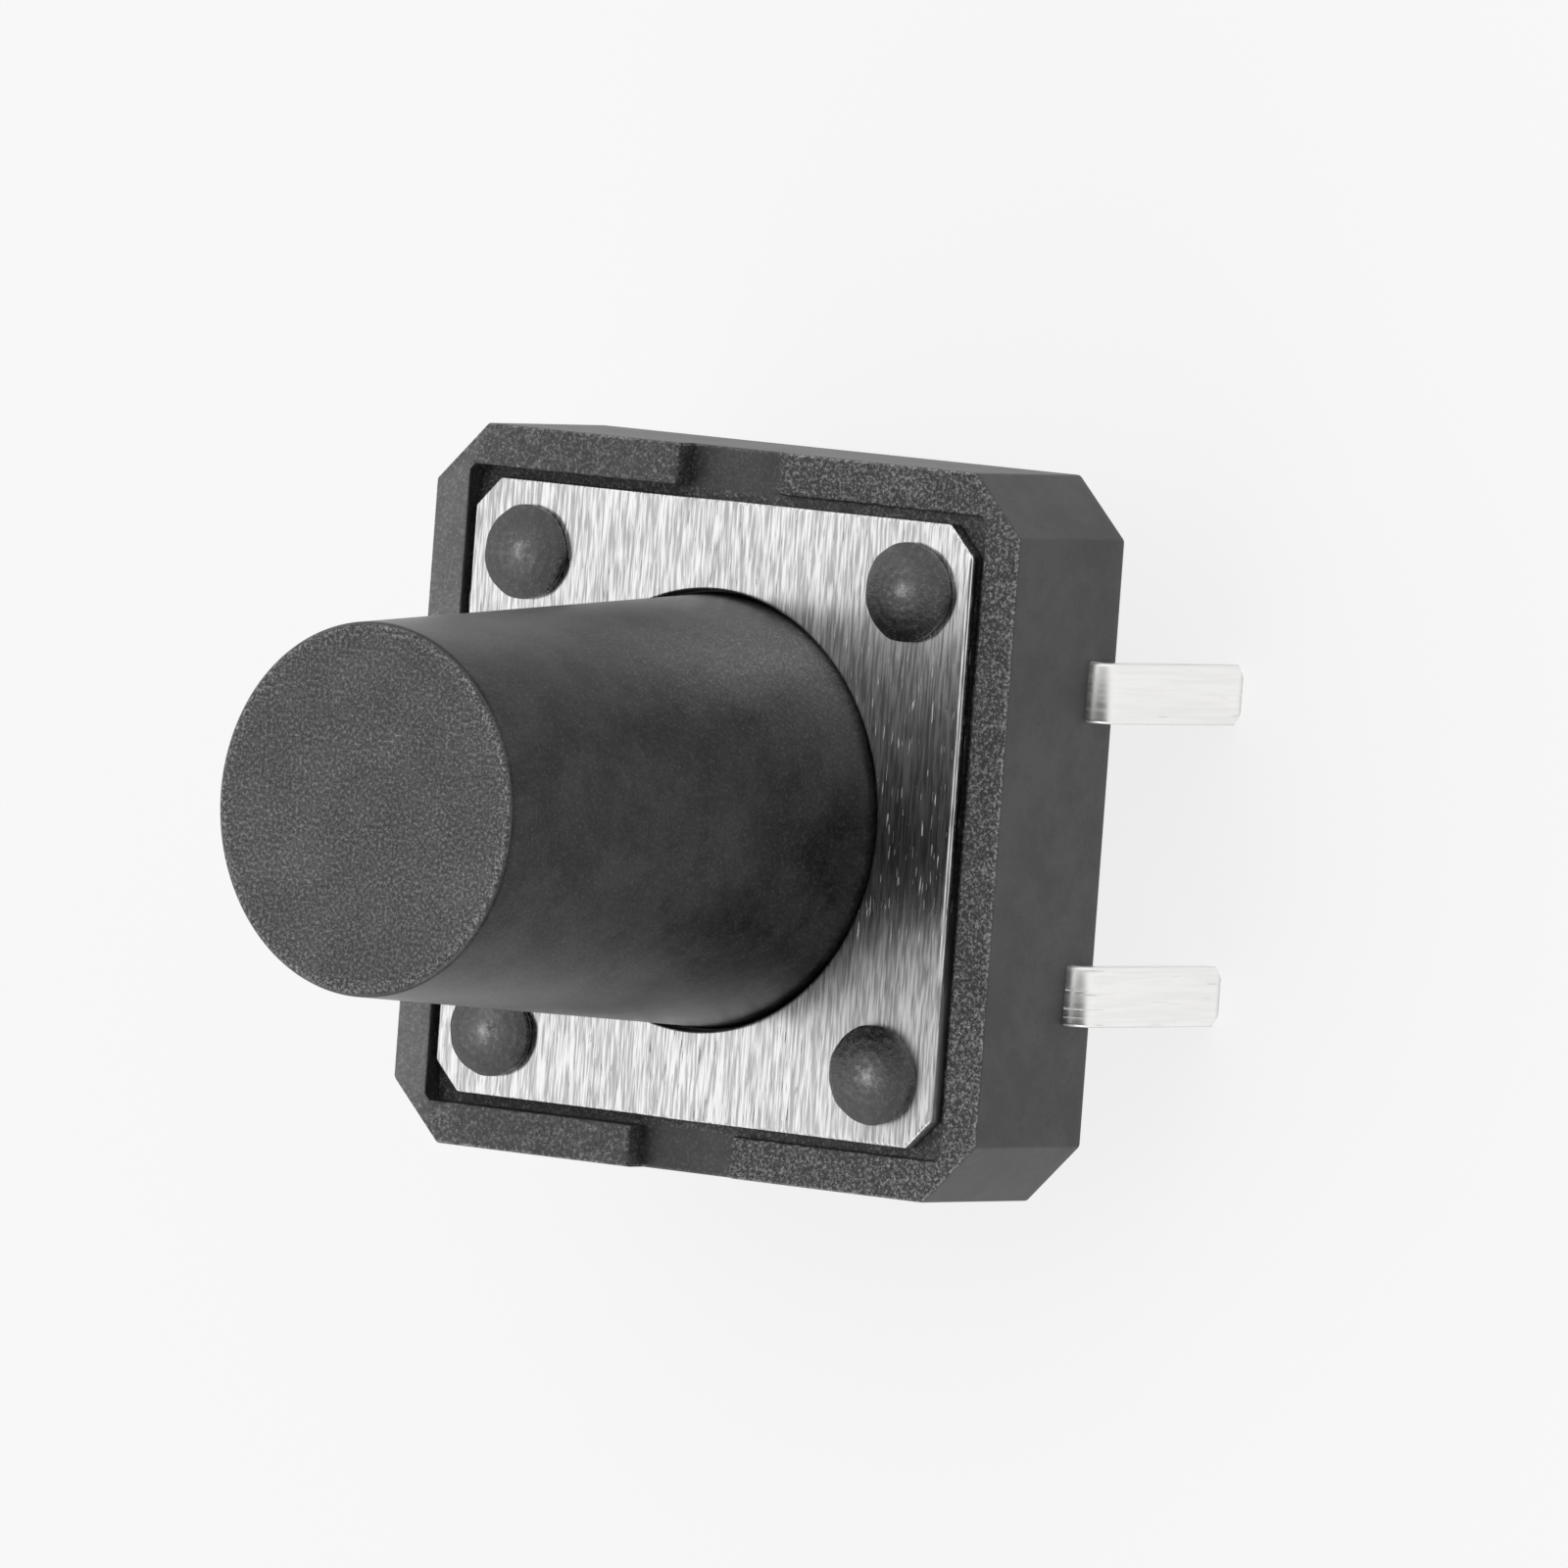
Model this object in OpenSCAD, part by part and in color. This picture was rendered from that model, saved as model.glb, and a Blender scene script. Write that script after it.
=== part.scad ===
// Tactile push button switch for a circuit board, with a tall tapered round plunger.
// Millimetres. The origin is the centre of the housing's underside, +Z runs along the plunger,
// and the legs leave the two walls that face +X and -X.

/* [Housing] */
// Width of the square housing across its flats
body_w = 12; // [10:0.1:16]
// Corner cut of the housing, along each side
body_cut = 1; // [0.4:0.1:1.6]
// Height of the face that the cover plate lies on
seat_z = 2.78; // [2.5:0.02:3.6]
// Thickness of the rim round the plate pocket
rim_w = 0.7; // [0.5:0.05:1]
// Height of the raised half of the rim above the plate seat
high_rim = 0.37; // [0.2:0.01:0.6]
// Height of the low half of the rim above the plate seat
low_rim = 0.12; // [0.06:0.01:0.3]
// Where the raised rim ends, measured along X from the middle
high_rim_end = -0.95; // [-2:0.05:-0.5]
// Where the low rim begins, measured along X from the middle
low_rim_start = 1; // [0.5:0.05:2]
// Wall left between the round well and the posts
well_wall = 0.88; // [0.7:0.02:1.1]
// Diameter of the four holes that held the terminals in the mould
support_hole_d = 1; // [0.6:0.1:1.2]

/* [Melted posts] */
// Diameter of the posts through the cover plate
post_d = 1; // [0.8:0.05:1.2]
// Distance from the pocket's walls to the posts' centres
post_inset = 1.3; // [1.1:0.05:1.5]
// Diameter of the melted heads
head_d = 1.66; // [1.4:0.02:1.8]
// Height of the melted heads above the cover plate
head_h = 0.3; // [0.2:0.02:0.6]
// Diameter of the small teat that the melting tool leaves on each head
teat_d = 0.3; // [0.2:0.02:0.4]
// Height of that teat
teat_h = 0.04; // [0.02:0.01:0.08]

/* [Cover plate] */
// Thickness of the sheet
plate_t = 0.3; // [0.2:0.02:0.4]
// Corner cut of the plate, along each side
plate_cut = 0.5; // [0.3:0.05:0.7]
// Gap between plate and pocket wall, along X
plate_gap_x = 0.1; // [0.05:0.01:0.2]
// Gap between plate and pocket wall, along Y
plate_gap_y = 0.17; // [0.05:0.01:0.25]
// Gap round each post in its plate hole
post_gap = 0.05; // [0.03:0.01:0.1]

/* [Plunger] */
// Height of the plunger's tip above the circuit board
tip_z = 12; // [7:0.5:15]
// How much narrower the stem is at its tip than at the flange, across its diameter
stem_taper = 1.05; // [0:0.05:2]
// Rounding of the tip's edge
tip_round = 0.12; // [0.05:0.01:0.4]
// Gap round the stem in the plate's centre hole
stem_gap = 0.1; // [0.06:0.01:0.2]
// How far the flange that keeps the plunger in stands out past the stem
flange_lip = 0.62; // [0.4:0.02:0.8]
// Thickness of the flange
flange_t = 0.85; // [0.6:0.05:0.95]
// Gap round the flange in the housing's well
flange_gap = 0.08; // [0.04:0.01:0.1]
// Gap between the flange and the plate above it
stop_gap = 0.02; // [0.01:0.01:0.05]
// Diameter of the nub that presses the dome
nub_d = 1.8; // [1.4:0.1:2.4]
// Travel of the button
travel = 0.3; // [0.2:0.05:0.35]

/* [Contact dome] */
// Room between the dome's edge and the wall of the well
dome_room = 0.58; // [0.4:0.02:0.8]
// Thickness of the dome's sheet
dome_t = 0.1; // [0.06:0.01:0.12]
// Gap between the dome's crown and the nub
nub_gap = 0.02; // [0.01:0.01:0.05]

/* [Terminals] */
// Thickness of the strip that the terminals are stamped from
strip_t = 0.3; // [0.2:0.02:0.36]
// Height of the strips' underside above the circuit board
strip_z = 0.45; // [0.3:0.05:0.5]
// Width of each leg
leg_w = 1; // [0.7:0.1:1.2]
// Distance between the two rows of legs, along Y
row_pitch = 5; // [4.8:0.1:5.4]
// Gap between the housing wall and the legs
leg_gap = 0.1; // [0.06:0.01:0.2]
// Length of the legs below the circuit board's top face
leg_len = 3; // [2.5:0.1:4]
// Cut at the corners of each leg's end
leg_cut = 0.16; // [0.05:0.01:0.3]
// Thickness of the plastic skin over the strips, at the bottom of the well
skin_t = 0.1; // [0.08:0.01:0.2]
// Distance from the dome's edge in to the middle of the outer contact's arms
arm_inset = 0.3; // [0.2:0.05:0.4]
// Width of those arms
arm_w = 1; // [0.8:0.05:1.1]
// How far the arms run past the middle
arm_end = 0.9; // [0.6:0.05:1]
// Diameter of the pressed-up pads that carry the dome's edge
pad_d = 0.9; // [0.6:0.05:0.95]
// Width of the tongue that leads to the centre contact
tongue_w = 1.4; // [1:0.1:1.8]
// Diameter of the disc at the tongue's end
disc_d = 2.4; // [2:0.1:2.8]
// Diameter of the pressed-up centre contact
centre_pad_d = 1.4; // [1:0.1:1.6]
// Height of the centre contact above the bottom of the well
centre_rise = 0.1; // [0.05:0.01:0.15]

/* [Hidden] */

plate_top = seat_z + plate_t;
pocket_w = body_w - 2 * rim_w;
post_at = pocket_w / 2 - post_inset;
well_d = 2 * (post_at * sqrt(2) - post_d / 2 - well_wall);
flange_d = well_d - 2 * flange_gap;
stem_base_d = flange_d - 2 * flange_lip;
stem_tip_d = stem_base_d - stem_taper;

plate_x = pocket_w - 2 * plate_gap_x;
plate_y = pocket_w - 2 * plate_gap_y;
plate_hole_d = stem_base_d + 2 * stem_gap;
post_hole_d = post_d + 2 * post_gap;

strip_top = strip_z + strip_t;
well_z = strip_top + skin_t;
dome_d = well_d - 2 * dome_room;
dome_h = travel - nub_gap + centre_rise + dome_t;
dome_top = well_z + dome_h;
flange_top = seat_z - stop_gap;
flange_z = flange_top - flange_t;
nub_z = dome_top + nub_gap;
nub_round = (flange_z - nub_z) / 2;

arm_x = dome_d / 2 - arm_inset;
bend_out = leg_gap + strip_t;
legs_w = body_w + 2 * bend_out;

arc_steps = 12;
round_fn = 96;
small_fn = 48;

// Points on an arc about a centre, from one angle to another
function arc(centre, r, from, to) = [
    for (i = [0 : arc_steps])
        let (a = from + (to - from) * i / arc_steps)
        centre + r * [cos(a), sin(a)]
];

// Radius of the sphere whose cap has the given base radius and height
function cap_radius(base_r, h) = (base_r * base_r + h * h) / (2 * h);

// Half angle of that cap at the sphere's centre
function cap_angle(base_r, h) = asin(base_r / cap_radius(base_r, h));

// Rectangle with its four corners cut at 45 degrees
module cut_rectangle(x, y, cut) {
    intersection() {
        square([x, y], center = true);
        rotate(45) square((x + y - 2 * cut) / sqrt(2), center = true);
    }
}

// Housing outline between two X positions, without the plate pocket
module rim_outline(x_from, x_to) {
    intersection() {
        difference() {
            cut_rectangle(body_w, body_w, body_cut);
            square(pocket_w, center = true);
        }
        translate([x_from, -body_w]) square([x_to - x_from, 2 * body_w]);
    }
}

// The melted end of a post: a low dome with steep sides and the tool's teat in the middle
module melted_head() {
    side_h = head_h * 0.6;
    cap_h = head_h - side_h;
    r = cap_radius(head_d / 2, cap_h);
    half = cap_angle(head_d / 2, cap_h);
    rotate_extrude($fn = small_fn)
        polygon(concat([[0, 0], [head_d / 2, 0]], arc([0, side_h + cap_h - r], r, 90 - half, 90)));
    cylinder(d = teat_d, h = head_h + teat_h, $fn = small_fn);
}

module at_posts() {
    for (x = [-1, 1], y = [-1, 1])
        translate([x * post_at, y * post_at]) children();
}

// One moulding: base block, stepped rim, round well, and the posts melted over the plate.
// The terminals are moulded in, so their own shapes are taken out of it.
module housing() {
    color("#2b2b2c") {
        difference() {
            union() {
                linear_extrude(seat_z) cut_rectangle(body_w, body_w, body_cut);
                linear_extrude(seat_z + high_rim) rim_outline(-body_w, high_rim_end);
                linear_extrude(seat_z + low_rim) rim_outline(low_rim_start, body_w);
            }
            translate([0, 0, well_z]) cylinder(d = well_d, h = seat_z, $fn = round_fn);
            outer_terminal_shape();
            centre_terminal_shape();
            for (x = [-1, 1], y = [-1, 1])
                translate([x * arm_x, y * row_pitch / 2, -1])
                    cylinder(d = support_hole_d, h = strip_z + 1, $fn = small_fn);
        }
        at_posts() {
            translate([0, 0, seat_z]) cylinder(d = post_d, h = plate_t, $fn = small_fn);
            translate([0, 0, plate_top]) melted_head();
        }
    }
}

// Stamped sheet that closes the well and holds the plunger in
module cover_plate() {
    color("#c9cbcc")
    translate([0, 0, seat_z])
    difference() {
        linear_extrude(plate_t) cut_rectangle(plate_x, plate_y, plate_cut);
        translate([0, 0, -1]) cylinder(d = plate_hole_d, h = plate_t + 2, $fn = round_fn);
        at_posts() translate([0, 0, -1]) cylinder(d = post_hole_d, h = plate_t + 2, $fn = small_fn);
    }
}

// Push button: nub, flange and tapered stem, turned from one profile
module plunger() {
    color("#262627")
    rotate_extrude($fn = round_fn)
    polygon(concat(
        [[0, nub_z]],
        arc([nub_d / 2 - nub_round, nub_z + nub_round], nub_round, -90, 0),
        [[nub_d / 2, flange_z], [flange_d / 2, flange_z], [flange_d / 2, flange_top]],
        [[stem_base_d / 2, flange_top]],
        arc([stem_tip_d / 2 - tip_round, tip_z - tip_round], tip_round, 0, 90),
        [[0, tip_z]]
    ));
}

// Snap disc: a shallow spherical cap of thin spring sheet, cut flat at its edge
module contact_dome() {
    r = cap_radius(dome_d / 2, dome_h);
    sink = r - dome_h;
    inner = r - dome_t;
    color("#b9bcc0")
    translate([0, 0, well_z])
    rotate_extrude($fn = round_fn)
    polygon(concat(
        arc([0, -sink], r, asin(sink / r), 90),
        arc([0, -sink], inner, 90, asin(sink / inner))
    ));
}

// Rectangle hanging from the X axis, with its two upper corners rounded
module hanging_rectangle(w, h, r) {
    translate([-w / 2, -h]) square([w, h - r]);
    translate([-w / 2 + r, -r]) square([w - 2 * r, r]);
    for (side = [-1, 1]) translate([side * (w / 2 - r), -r]) circle(r, $fn = small_fn);
}

// The strip through the housing, bent down into a leg at each end.
// The bent band is seen from the front, and the cut ends of the legs from the side.
module bent_strip(y) {
    drop = strip_top + leg_len;
    intersection() {
        translate([0, y + leg_w / 2, strip_top])
        rotate([90, 0, 0])
        linear_extrude(leg_w)
        difference() {
            hanging_rectangle(legs_w, drop, bend_out);
            translate([0, -strip_t]) hanging_rectangle(legs_w - 2 * strip_t, drop, leg_gap);
        }
        translate([-legs_w, y, strip_top])
        rotate([90, 0, 90])
        linear_extrude(2 * legs_w)
        polygon([
            [-leg_w / 2, 1], [-leg_w / 2, leg_cut - drop], [leg_cut - leg_w / 2, -drop],
            [leg_w / 2 - leg_cut, -drop], [leg_w / 2, leg_cut - drop], [leg_w / 2, 1]
        ]);
    }
}

// Strip with two arms that carry the dome's edge on pressed-up pads
module outer_terminal_shape() {
    bent_strip(row_pitch / 2);
    for (side = [-1, 1]) {
        translate([side * arm_x - arm_w / 2, -arm_end, strip_z])
            cube([arm_w, arm_end + row_pitch / 2, strip_t]);
        translate([side * arm_x, 0, strip_z])
            cylinder(d = pad_d, h = strip_t + skin_t, $fn = small_fn);
    }
}

// Strip with a tongue to the middle, where the dome meets the pressed-up contact
module centre_terminal_shape() {
    bent_strip(-row_pitch / 2);
    translate([-tongue_w / 2, -row_pitch / 2, strip_z]) cube([tongue_w, row_pitch / 2, strip_t]);
    translate([0, 0, strip_z]) cylinder(d = disc_d, h = strip_t, $fn = small_fn);
    translate([0, 0, strip_z])
        cylinder(d = centre_pad_d, h = strip_t + skin_t + centre_rise, $fn = small_fn);
}

module outer_terminal() {
    color("#d5d5d2") outer_terminal_shape();
}

module centre_terminal() {
    color("#d5d5d2") centre_terminal_shape();
}

housing();
cover_plate();
plunger();
contact_dome();
outer_terminal();
centre_terminal();
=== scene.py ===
import math

import bmesh
import bpy
import numpy as np
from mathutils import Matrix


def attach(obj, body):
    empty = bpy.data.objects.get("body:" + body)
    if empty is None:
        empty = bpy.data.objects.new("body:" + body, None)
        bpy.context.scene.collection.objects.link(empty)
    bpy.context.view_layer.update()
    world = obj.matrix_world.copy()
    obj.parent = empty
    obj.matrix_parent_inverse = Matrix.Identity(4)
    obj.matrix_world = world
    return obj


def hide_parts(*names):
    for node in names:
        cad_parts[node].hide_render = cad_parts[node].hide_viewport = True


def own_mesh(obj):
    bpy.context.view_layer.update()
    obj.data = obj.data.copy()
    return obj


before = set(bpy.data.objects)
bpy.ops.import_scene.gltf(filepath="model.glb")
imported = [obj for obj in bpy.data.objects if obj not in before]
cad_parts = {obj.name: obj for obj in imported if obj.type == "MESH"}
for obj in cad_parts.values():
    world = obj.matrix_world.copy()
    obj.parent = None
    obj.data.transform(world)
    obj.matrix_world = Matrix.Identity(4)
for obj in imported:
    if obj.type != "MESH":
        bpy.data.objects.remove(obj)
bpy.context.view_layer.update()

# Housing. One black moulding of glass-filled plastic: a square block with cut corners, a round well,
# and a rim that stands high on one half and low on the other, with a gap in the rim between the two.
# The strips are laid in the mould, and four pins that held them leave round holes in the underside.

# Sizes are in millimetres, in this section and every other but the studio's.
half_body = 6.0
corner_radius = 0.1
seat_z = 2.78
rim_width = 0.7
rim_flat_from = 0.12
rim_flat_to = 0.4
high_rim = 0.37
low_rim = 0.12
high_rim_end = -0.95
low_rim_start = 1.0
high_end_round = 0.05
low_end_round = 0.03
outer_edge = 0.06
inner_edge = 0.04
well_radius = 4.277
well_z = 0.85
well_edge = 0.05
hole_radius = 0.5
wall_stops = [0.2, 2.5]
strip_z = 0.45
row_y = 2.5
arm_x = 3.397
# Distance from the middle to each corner cut: at the wall, where the rim's flat begins, and at the pocket.
to_cuts = [7.778, 7.658, 7.425]
# Radius of a circle that stands for a point, and the distance in metres at which two points are one.
tiny = 1e-5
same = 2e-7


def cut_square(half_x, half_y, cut, radius, x_stops, y_stops):
    """Closed outline, anticlockwise from +X, of a rectangle with its four corners cut at 45 degrees.
    Each of the eight corners left is an arc of 45 degrees whose centre lies inside the corner, at
    radius / cos(22.5 degrees) along the line that halves it. The straight sides get points at the
    stops."""
    middle = np.radians(45 * np.arange(8) - 22.5)
    x, y = half_x - cut, half_y - cut
    corner = np.array([(half_x, -y), (half_x, y), (x, half_y), (-x, half_y),
                       (-half_x, y), (-half_x, -y), (-x, -half_y), (x, -half_y)])
    inward = np.stack([np.cos(middle), np.sin(middle)], 1) * radius / math.cos(math.radians(22.5))
    swing = middle[:, None] + np.radians(np.linspace(-22.5, 22.5, 5))
    arcs = (corner - inward)[:, None] + radius * np.stack([np.cos(swing), np.sin(swing)], 2)
    right = np.stack([np.full_like(y_stops, half_x), y_stops], 1)
    back = np.stack([x_stops[::-1], np.full_like(x_stops, half_y)], 1)
    left = np.stack([np.full_like(y_stops, -half_x), y_stops[::-1]], 1)
    front = np.stack([x_stops, np.full_like(x_stops, -half_y)], 1)
    return np.concatenate([arcs[0], right, arcs[1], arcs[2], back, arcs[3],
                           arcs[4], left, arcs[5], arcs[6], front, arcs[7]])


def circle(x, y, radius, count=48):
    """Closed circle about (x, y), anticlockwise, as evenly spaced points."""
    turn = np.linspace(0, 2 * np.pi, count, endpoint=False)
    return np.stack([x + radius * np.cos(turn), y + radius * np.sin(turn)], 1)


def ring(outline, z):
    """An outline lifted to height z, which is one number or one for each of its points."""
    return np.column_stack([outline, np.broadcast_to(z, len(outline))])


def band(rings):
    """Surface through a stack of closed rings with equal counts. Point i of ring k has the number
    k * count + i, and each face joins i and i + 1 of one ring to the same two of the next."""
    rows, count = len(rings), len(rings[0])
    number = np.arange(rows * count).reshape(rows, count)
    after = np.roll(number, -1, axis=1)
    faces = np.stack([number[:-1], after[:-1], after[1:], number[1:]], 2).reshape(-1, 4)
    return np.concatenate(rings), faces


def join(*parts):
    """Several surfaces as one: each part's face numbers move up by the points before it."""
    counts = np.cumsum([0] + [len(points) for points, _ in parts])
    faces = [face + count for (_, face), count in zip(parts, counts)]
    return np.concatenate([points for points, _ in parts]), np.concatenate(faces)


def piece(name, surface, body, flats=(), marks=None):
    """A mesh object from points in millimetres. Doubles are merged, the open faces at the heights in
    flats are filled level, normals point outwards, and edges sharper than 40 degrees stay sharp.
    The marks are values at the points, kept by name for the material to read."""
    points, faces = surface
    mesh = bpy.data.meshes.new(name)
    mesh.from_pydata(points * 0.001, [], faces.tolist())
    for label, values in (marks or {}).items():
        mesh.attributes.new(label, "FLOAT", "POINT").data.foreach_set("value", values.astype(np.float32))
    shape = bmesh.new()
    shape.from_mesh(mesh)
    bmesh.ops.remove_doubles(shape, verts=shape.verts, dist=same)
    for z in flats:
        rims = [e for e in shape.edges if e.is_boundary
                and all(abs(v.co.z - z * 0.001) < same for v in e.verts)]
        bmesh.ops.triangle_fill(shape, use_beauty=True, edges=rims)
    bmesh.ops.recalc_face_normals(shape, faces=shape.faces)
    shape.to_mesh(mesh)
    shape.free()
    mesh.shade_smooth()
    mesh.set_sharp_from_angle(angle=math.radians(40))
    made = bpy.data.objects.new(name, mesh)
    bpy.context.scene.collection.objects.link(made)
    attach(made, body)
    return made


# Height of the rim above the plate's seat along X: a rounded end on the high half, the gap, and the
# smaller rounded end of the low half. The upright faces lean by 0.002 so that each x has one height.
quarter = np.radians(np.linspace(0, 90, 6))
step_x = np.concatenate([high_rim_end - high_end_round * (1 - np.sin(quarter)), [high_rim_end + 0.002],
                         [low_rim_start - 0.002], low_rim_start + low_end_round * (1 - np.cos(quarter))])
step_rise = np.concatenate([high_rim - high_end_round * (1 - np.cos(quarter)), [0.0],
                            [0.0], low_rim - low_end_round * (1 - np.sin(quarter))])
side_stops = np.linspace(-4.5, 4.5, 37)
rim_stops = np.sort(np.concatenate([side_stops[abs(side_stops - high_rim_end) > 0.1], step_x]))


def housing_outline(inset):
    """The block's outline moved inwards. The flats move in by the inset, and the corner cuts by as much
    at first and then less, so that the cut-cornered wall turns into the square pocket across the rim.
    The arcs at the corners tighten a little on the way."""
    to_cut = np.interp(inset, [0, rim_flat_from, rim_width], to_cuts)
    half = half_body - inset
    cut = 2 * half - math.sqrt(2) * to_cut
    return cut_square(half, half, cut, corner_radius - inset / 18, rim_stops, side_stops)


outline = housing_outline(0.0)
rise = np.interp(outline[:, 0], step_x, step_rise)
rim_top = seat_z + rise
pocket = housing_outline(rim_width)
soft = np.minimum(inner_edge, rise / 2)[:, None]
away = outline / np.linalg.norm(outline, axis=1)[:, None]

# The rings run from the underside up the wall, over the rim into the pocket, and down the well.
rings = [ring(housing_outline(0.3), 0.0)]
rings += [ring(housing_outline(outer_edge * (1 - np.sin(a))), outer_edge * (1 - np.cos(a)))
          for a in quarter]
rings += [ring(outline, z) for z in [*wall_stops, rim_top - outer_edge - 0.03]]
rim_ring = len(rings)
rings += [ring(housing_outline(outer_edge * (1 - np.cos(a))), rim_top - outer_edge * (1 - np.sin(a)))
          for a in quarter]
rings += [ring(housing_outline(rim_flat_from), rim_top), ring(housing_outline(rim_flat_to), rim_top)]
for a in quarter:
    # The first ring of the inner edge lies 0.02 further out, which keeps the rim flat up to there.
    out_by = soft * (1 - np.sin(a)) + 0.02 * (a == 0)
    rings.append(ring(pocket + away * out_by, rim_top - soft[:, 0] * (1 - np.cos(a))))
seat_ring = len(rings)
rings += [ring(pocket, seat_z), ring(pocket * 0.99, seat_z), ring(pocket * 0.985, seat_z)]

turn = np.arctan2(pocket[:, 1], pocket[:, 0])
spoke = np.stack([np.cos(turn), np.sin(turn)], 1)
rings += [ring(spoke * (well_radius + 0.09), seat_z)]
rings += [ring(spoke * (well_radius + well_edge * (1 - np.sin(a))), seat_z - well_edge * (1 - np.cos(a)))
          for a in quarter]
rings += [ring(spoke * well_radius, well_z + well_edge), ring(spoke * (well_radius - well_edge), well_z),
          ring(spoke * 2.0, well_z), ring(spoke * tiny, well_z)]


def pin_hole(x, y):
    """Blind round hole in the underside about (x, y), with a small flare at its mouth. It ends just
    inside the strip that the pin held."""
    mouth, bore, end = [circle(x, y, radius) for radius in (hole_radius + 0.02, hole_radius, tiny)]
    depth = strip_z + 0.02
    return band([ring(mouth, 0.0), ring(bore, 0.03), ring(bore, depth), ring(end, depth)])


holes = [pin_hole(x * arm_x, y * row_y) for x in (-1, 1) for y in (-1, 1)]
shell = join(band(rings), *holes)

# Where the mould is grained: strongly on the low rim, less on the high rim, and hardly in the gap or on
# the walls. Round the outer edge of the rim the grain is stronger still, which paints a pale dotted line
# there: a painted highlight. The high rim is painted pale instead, most of all at its far side: painted
# light, where the light falls more strongly.
x_stops = [-5.4, -4.9, -0.97, -0.94, 0.98, 1.02]
by_x = np.interp(outline[:, 0], x_stops, [0.45, 0.95, 0.95, 0.2, 0.2, 1.6])
painted_light_x = np.interp(outline[:, 0], x_stops, [0.28, 0.03, 0.0, 0.0, 0.0, 0.0])
wall_grain, seat_grain, hole_grain, edge_highlight_grain = 0.04, 0.8, 0.1, 2.2
grain = np.full((len(rings), len(outline)), wall_grain)
pale = np.zeros((len(rings), len(outline)))
on_rim = slice(rim_ring + 3, seat_ring - 3)
grain[on_rim], pale[on_rim] = by_x, painted_light_x
# The outer edge's rings are grained more strongly, which paints them paler: a painted highlight.
grain[rim_ring + 2:rim_ring + 5] = edge_highlight_grain * by_x
grain[seat_ring:seat_ring + 4] = seat_grain
in_holes = np.full(len(shell[0]) - grain.size, hole_grain)
housing = piece("housing_block", shell, "base", flats=[0.0],
                marks={"grain": np.concatenate([grain.ravel(), in_holes]),
                       "pale": np.concatenate([pale.ravel(), 0 * in_holes])})
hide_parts("housing")


def feed(tree, node, sockets):
    """Inputs of a node, by name or number: linked where the value is another node's output, else set
    to it."""
    for name, value in sockets.items():
        if isinstance(value, bpy.types.NodeSocket):
            tree.links.new(value, node.inputs[name])
        else:
            node.inputs[name].default_value = value
    return node


def put(tree, kind, sockets, **settings):
    """Adds a node of this kind, with its own properties from the settings and its inputs fed."""
    node = tree.nodes.new(kind)
    for name, value in settings.items():
        setattr(node, name, value)
    return feed(tree, node, sockets)


def sums(tree, operation, *values, **settings):
    """Result of a Math node on the values. MULTIPLY_ADD gives the first times the second plus the third."""
    return put(tree, "ShaderNodeMath", dict(enumerate(values)), operation=operation, **settings).outputs[0]


def ramp(tree, value, start, stop, low=0.0, high=1.0, **settings):
    """Goes from low to high while the value goes from start to stop, and stays there beyond them."""
    sockets = {"Value": value, "From Min": start, "From Max": stop, "To Min": low, "To Max": high}
    return put(tree, "ShaderNodeMapRange", sockets, **settings).outputs[0]


def noise(tree, place, scale, detail, roughness=0.5):
    """Noise about 0.5, with this many features to each unit of the place."""
    sockets = {"Vector": place, "Scale": scale, "Detail": detail, "Roughness": roughness}
    return put(tree, "ShaderNodeTexNoise", sockets).outputs[0]


def mix(tree, share, first, second):
    """Colour between the first and the second."""
    return put(tree, "ShaderNodeMix", {"Factor": share, 6: first, 7: second}, data_type="RGBA").outputs[2]


def use(tree, group, sockets):
    """Places a node group in a tree and feeds its inputs."""
    node = tree.nodes.new("ShaderNodeGroup")
    node.node_tree = group
    return feed(tree, node, sockets)


number, colour, vector = "NodeSocketFloat", "NodeSocketColor", "NodeSocketVector"


def effect(name, inputs, outputs):
    """An empty node group with these input and output sockets, what its inputs give, and the node that
    takes its results."""
    group = bpy.data.node_groups.new(name, "ShaderNodeTree")
    for label, kind, value in inputs:
        socket = group.interface.new_socket(label, in_out="INPUT", socket_type=kind)
        if value is not None:
            socket.default_value = value
    for label, kind in outputs:
        group.interface.new_socket(label, in_out="OUTPUT", socket_type=kind)
    return group, group.nodes.new("NodeGroupInput").outputs, group.nodes.new("NodeGroupOutput")


def material(name, **fixed):
    """A material with one Principled shader whose constant sockets are set, and object space in
    millimetres."""
    made = bpy.data.materials.new(name)
    made.use_nodes = True
    tree = made.node_tree
    shader = tree.nodes["Principled BSDF"]
    feed(tree, shader, {label.replace("_", " "): value for label, value in fixed.items()})
    space = put(tree, "ShaderNodeTexCoord", {})
    millimetres = put(tree, "ShaderNodeMapping", {"Vector": space.outputs["Object"],
                                                  "Scale": (1000, 1000, 1000)})
    return made, tree, shader, millimetres.outputs[0]


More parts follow.
